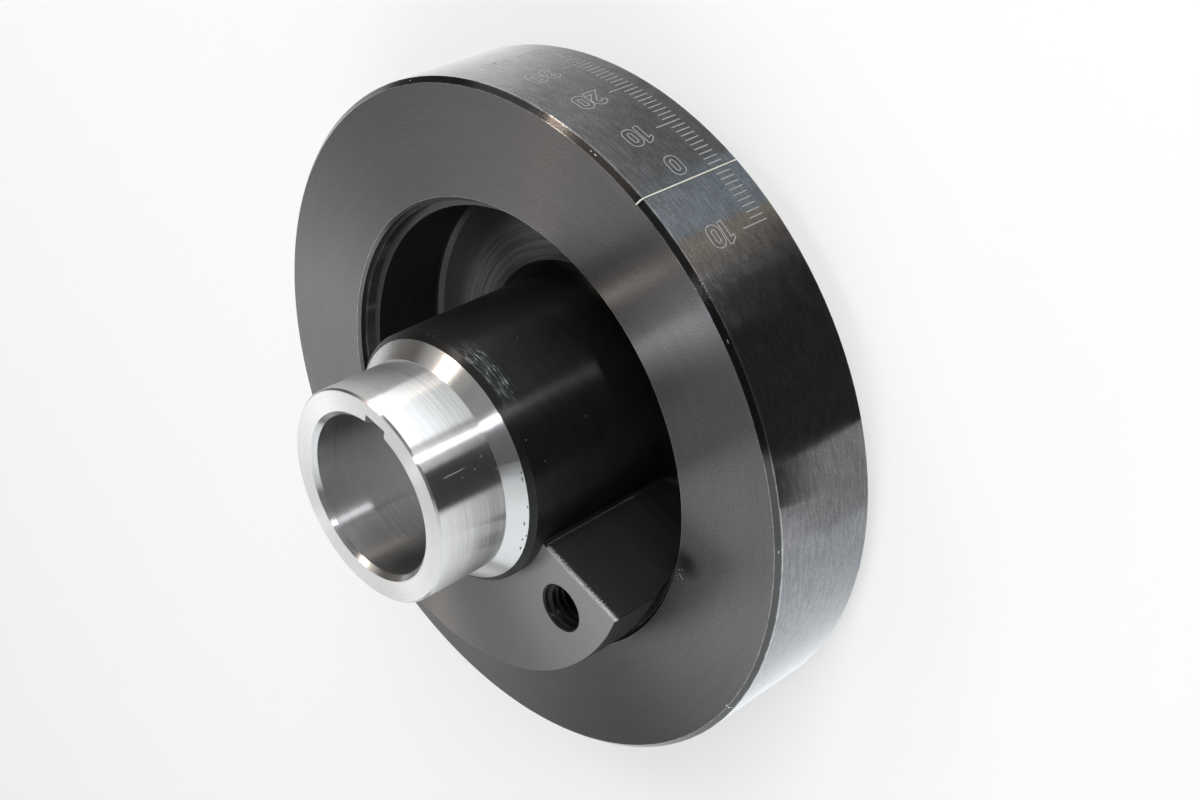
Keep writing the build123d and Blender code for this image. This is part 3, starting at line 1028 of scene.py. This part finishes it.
def flat_mesh(name, corners, material):
    """One flat face on the floor or over it, as an object of the studio."""
    mesh = bpy.data.meshes.new(name)
    mesh.from_pydata(corners, [], [tuple(range(len(corners)))])
    mesh.materials.append(material)
    made = bpy.data.objects.new(name, mesh)
    bpy.context.scene.collection.objects.link(made)
    return made


paper, tree, surface = bare_material("white_paper")
rays = add(tree, "LightPath").outputs
mirrored = calc(tree, "MAXIMUM", rays["Is Glossy Ray"], rays["Is Transmission Ray"])
seen = calc(tree, "MAXIMUM", rays["Is Camera Ray"], mirrored)
glow = add(tree, "Emission", {"Color": (*WHITE, 1.0), "Strength": times(tree, seen, PAPER_GLOW)})
matt = add(tree, "BsdfDiffuse", {"Color": (PAPER_MATT, PAPER_MATT, PAPER_MATT, 1.0)})
feed(tree, surface, add(tree, "AddShader", {0: glow.outputs[0], 1: matt.outputs[0]}).outputs[0])
floor = flat_mesh("floor", [(-FLOOR_HALF, -FLOOR_HALF, 0), (FLOOR_HALF, -FLOOR_HALF, 0),
                            (FLOOR_HALF, FLOOR_HALF, 0), (-FLOOR_HALF, FLOOR_HALF, 0)], paper)
print("floor lies at z = 0")

# %% [markdown]
# ## The room
# Polished and blackened metal is a mirror of its room, so the room is designed like a set.
# Its walls are pale paper with dim gaps between them, its ceiling is dimmer, and behind the
# camera the room is dark. That dark wall draws the black bands down the rim and the snout.
# Each panel is a patch between two azimuths and two elevations, and the world adds them up.

# %% A panel of the world
world = bpy.data.worlds.new("studio")
bpy.context.scene.world = world
world.use_nodes = True
tree = world.node_tree
background = tree.nodes["Background"]
direction = add(tree, "SeparateXYZ", {0: add(tree, "TexCoord").outputs["Generated"]})
azimuth = calc(tree, "ARCTAN2", direction.outputs[1], direction.outputs[0])
lift = direction.outputs[2]


def wall_panel(azimuth_from, azimuth_to, lift_from, lift_to, brightness):
    """How bright a soft-edged patch of the room is, between two azimuths and two elevations."""
    sideways = between(tree, azimuth, math.radians(azimuth_from), math.radians(azimuth_to), math.radians(3))
    upwards = between(tree, lift, math.sin(math.radians(lift_from)), math.sin(math.radians(lift_to)), 0.04)
    return times(tree, sideways, upwards, brightness)


print("world ready:", world.name)

# %% The panels of the room
# These lie past the horizon, the zenith and the azimuth's seam, so that no edge shows there.
BELOW, ZENITH, ALL_ROUND = -30, 100, 190
COOL, LILAC, WARM = (0.93, 0.98, 1.0), (0.95, 0.90, 1.0), (1.0, 0.93, 0.86)
PANELS = {
    "left window wall": (-122, -60, BELOW, 61, 1.08, COOL),
    "left wall's end": (-60, -32, BELOW, 61, 0.85, COOL),
    "back wall, left": (-ALL_ROUND, -150, 8, 31, 1.0, WHITE),
    "low back window": (-179, -159, 12, 32, 1.4, WHITE),
    "back wall, left, foot": (-ALL_ROUND, -122, BELOW, 8, 0.55, WHITE),
    "back wall, left, top": (-ALL_ROUND, -150, 31, 61, 0.44, WHITE),
    "back corner, top": (-150, -122, 40, 61, 0.85, WHITE),
    "back corner": (-150, -122, 8, 40, 0.12, WHITE),
    "back wall, right": (158, ALL_ROUND, 5, 31, 0.62, WHITE),
    "dim corner": (122, 158, 40, 61, 0.40, WARM),
    "dim corner, foot": (122, 158, BELOW, 40, 0.12, WARM),
    "right wall, foot": (92, 122, BELOW, 11, 1.15, WHITE),
    "right wall": (92, 122, 11, 31, 0.40, WHITE),
    "right wall, top": (92, 122, 31, 50, 0.85, WARM),
    "right front wall, foot": (37, 92, BELOW, 12, 3.0, COOL),
    "right front wall": (37, 92, 12, 31, 1.0, WHITE),
    "right front wall, top": (66, 92, 31, 44, 0.45, WARM),
    "right front corner": (37, 66, 31, 61, 0.12, WHITE),
    "camera side": (-32, 37, BELOW, 61, 0.06, LILAC),
    "ceiling": (-ALL_ROUND, ALL_ROUND, 61, ZENITH, 0.36, WHITE),
}
room = (0.0, 0.0, 0.0)
for *place, tint in PANELS.values():
    patch = add(tree, "VectorMath", {0: tint, "Scale": wall_panel(*place)}, operation="SCALE")
    room = add(tree, "VectorMath", {0: room, 1: patch.outputs[0]}, operation="ADD").outputs[0]
feed(tree, background.inputs["Color"], room)
background.inputs["Strength"].default_value = 1.0
print("world:", len(tree.nodes), "nodes")

# %% [markdown]
# ## Lamps
# A soft box is an area lamp. Its power is worked out from how bright its face should look,
# so that 1 is as bright as white paper. The metal shows it stretched across the turned
# marks, so a small bright lamp becomes a thin streak. A lamp can be hidden from the matt
# paper or from the metal, and so the reflections and the floor's shadow are set apart.

# %% Lamp helpers
AIM = Vector((0.0, 0.0, 0.035))


def on_sphere(azimuth_deg, elevation_deg, distance):
    azimuth_rad, elevation_rad = math.radians(azimuth_deg), math.radians(elevation_deg)
    level_part = math.cos(elevation_rad)
    return AIM + distance * Vector((
        math.cos(azimuth_rad) * level_part, math.sin(azimuth_rad) * level_part, math.sin(elevation_rad)))


def soft_box(name, azimuth_deg, elevation_deg, distance, width, height, brightness, colour=WHITE):
    data = bpy.data.lights.new(name, "AREA")
    data.shape = "RECTANGLE"
    data.size, data.size_y = width, height
    data.energy = brightness * math.pi * width * height
    data.color = colour
    lamp = bpy.data.objects.new(name, data)
    lamp.location = on_sphere(azimuth_deg, elevation_deg, distance)
    lamp.rotation_euler = (AIM - lamp.location).to_track_quat("-Z", "Y").to_euler()
    lamp.visible_camera = False
    bpy.context.scene.collection.objects.link(lamp)
    return lamp


print("lamps look at", tuple(AIM))

# %% Lamps
# Each box has its azimuth, elevation, distance, width, height, brightness and colour.
soft_box("panel_box", 98, 38, 0.9, 0.19, 0.17, 8.0, (1.0, 0.95, 0.90))
soft_box("copper_margin", 99, 38, 0.92, 0.34, 0.17, 0.9, (1.0, 0.70, 0.52))
soft_box("copper_box", 89, 23, 0.9, 0.10, 0.07, 36.0, (1.0, 0.78, 0.60)).visible_diffuse = False
# These three are small and only metal shows them, as thin streaks across its marks.
STREAK_LAMPS = (
    ("cone_lamp", 28.7, 56.5, 0.04, 40.0),
    ("face_lamp", -166.0, 72, 0.016, 480.0),
    ("bore_lamp", 26.0, 18.0, 0.03, 1000.0),
)
for name, azimuth_deg, elevation_deg, size, brightness in STREAK_LAMPS:
    streak = soft_box(name, azimuth_deg, elevation_deg, 0.8, size, size, brightness, (0.95, 0.94, 1.0))
    streak.visible_diffuse = False
# These two light the paper and shape its shadow, but don't show in the metal.
for name, azimuth_deg, elevation_deg, brightness in (("shadow_key", 40, 27, 13.0), ("fill", -80, 62, 2.0)):
    soft_box(name, azimuth_deg, elevation_deg, 1.8, 0.9, 0.9, brightness).visible_glossy = False
print("lamps placed")

# %% [markdown]
# ## Cards
# A photographer shapes a reflection with cards, black or white, laid where the metal mirrors
# them. These lie on the floor or stand on it, and only reflections see them. The rim and the
# snout are upright round walls, so each shows its own fan of the floor. The way back from
# the camera over the wall to the floor tells where the fan is.

# %% A card
def glossy_card(name, corners, colour, strength, fade=None):
    """A card that only reflections see. A fade is (azimuth, azimuth, strength at the second)."""
    material, card_tree, surface = bare_material(name)
    if fade:
        around = lathe_numbers(card_tree)[1]
        share = smooth_step(card_tree, around, math.radians(fade[0]), math.radians(fade[1]))
        strength = mix_number(card_tree, share, strength, fade[2])
    light = add(card_tree, "Emission", {"Color": (*colour, 1.0), "Strength": strength})
    feed(card_tree, surface, light.outputs[0])
    made = flat_mesh(name, corners, material)
    made.visible_camera = False
    made.visible_diffuse = False
    made.visible_shadow = False
    made.visible_transmission = False
    return made


print("cards are seen by reflections alone")

# %% Where a card has to lie
def upright_card(azimuth_deg, distance, width, low, high):
    middle = Vector(at_angle(distance, azimuth_deg, 0.0))
    side = Vector(at_angle(width / 2, azimuth_deg + 90, 0.0))
    return [(*(middle + side * turn)[:2], z) for turn, z in ((-1, low), (1, low), (1, high), (-1, high))]


def mirrored_on_floor(radius, angle_deg, height):
    """The point of the floor that the camera sees mirrored in an upright round wall."""
    outwards = Vector(at_angle(1.0, angle_deg, 0.0))
    place = outwards * radius + Vector((0.0, 0.0, height))
    view = (CAMERA_PLACE - place).normalized()
    ray = 2 * outwards.dot(view) * outwards - view
    met = place - ray * (place.z / ray.z)
    return met.x, met.y


def floor_fan(radius, start_deg, end_deg, low, high, level):
    """The part of the floor that shows in a round wall between two angles and two heights."""
    steps = 9
    sweep = [start_deg + (end_deg - start_deg) * step / (steps - 1) for step in range(steps)]
    near = [mirrored_on_floor(radius, angle_deg, low) for angle_deg in sweep]
    far = [mirrored_on_floor(radius, angle_deg, high) for angle_deg in reversed(sweep)]
    return [(x, y, level) for x, y in near + far]


print("the rim's first card begins at", [round(x, 4) for x in mirrored_on_floor(RING_RADIUS, -7.3, 0.0015)])

# %% Cards that the rim shows
RIM_LOW, RIM_HIGH = 1.5 * MM, 48 * MM
RIM_CARD_LEVEL = 0.9 * MM
# Each card has its first and last angle on the rim, its colour and strength, and its fade.
RIM_CARDS = {
    "rim_dark": (-7.3, 21.0, (1.0, 0.96, 0.92), 0.085, (17, 24, 0.16)),
    "rim_brown": (21.0, 27.5, (1.0, 0.90, 0.74), 0.24, (22, 29, 0.85)),
    "rim_cool": (27.5, 37.0, (0.82, 0.94, 1.0), 0.92, (37, 46, 0.60)),
    "rim_right": (37.0, 62.0, (0.98, 1.0, 0.99), 0.50, (52, 72, 0.78)),
    "rim_top": (62.0, 95.0, (1.0, 0.99, 0.98), 0.78, (66, 96, 1.4)),
    "rim_left": (-75.0, -21.0, (0.925, 0.97, 1.0), 1.7, (-52, -26, 1.35)),
}
for name, (start_deg, end_deg, tint, strength, fade) in RIM_CARDS.items():
    fan = floor_fan(RING_RADIUS, start_deg, end_deg, RIM_LOW, RIM_HIGH, RIM_CARD_LEVEL)
    glossy_card(name, fan, tint, strength, fade)
print("cards for the rim:", len(RIM_CARDS))

# %% Cards that the snout shows
# Two outlines are points of the floor, in metres. The third has distances and azimuths.
LEFT_FLOOR = ((0.10, -0.050), (0.40, -0.238), (0.9, -0.56), (0.4, -1.0), (-0.3, -1.0), (-0.9, -0.6),
              (-0.09, -0.05), (0.0, -0.10))
SNOUT_DARK = ((0.10, -0.045), (0.40, -0.225), (0.9, -0.53), (1.0, 0.20), (0.50, 0.10), (0.125, 0.028))
SNOUT_CARD = ((1.2, 37), (1.2, 66), (1.2, 100), (0.135, 100), (0.135, 66), (0.135, 37))

glossy_card("left_floor", [(x, y, 0.4 * MM) for x, y in LEFT_FLOOR], (0.97, 0.99, 1.0), 1.0, (-120, -70, 1.5))
glossy_card("snout_dark", [(x, y, 0.5 * MM) for x, y in SNOUT_DARK], (0.95, 0.90, 1.0), 0.05)
glossy_card("snout_card", [at_angle(radius, angle_deg, 0.8 * MM) for radius, angle_deg in SNOUT_CARD],
            (0.95, 0.98, 1.0), 2.8)
small_card = upright_card(azimuth_deg=24.3, distance=0.18, width=0.016, low=0.002, high=0.014)
glossy_card("streak_card", small_card, (0.95, 0.95, 1.0), 17.0)
print("cards for the snout placed")
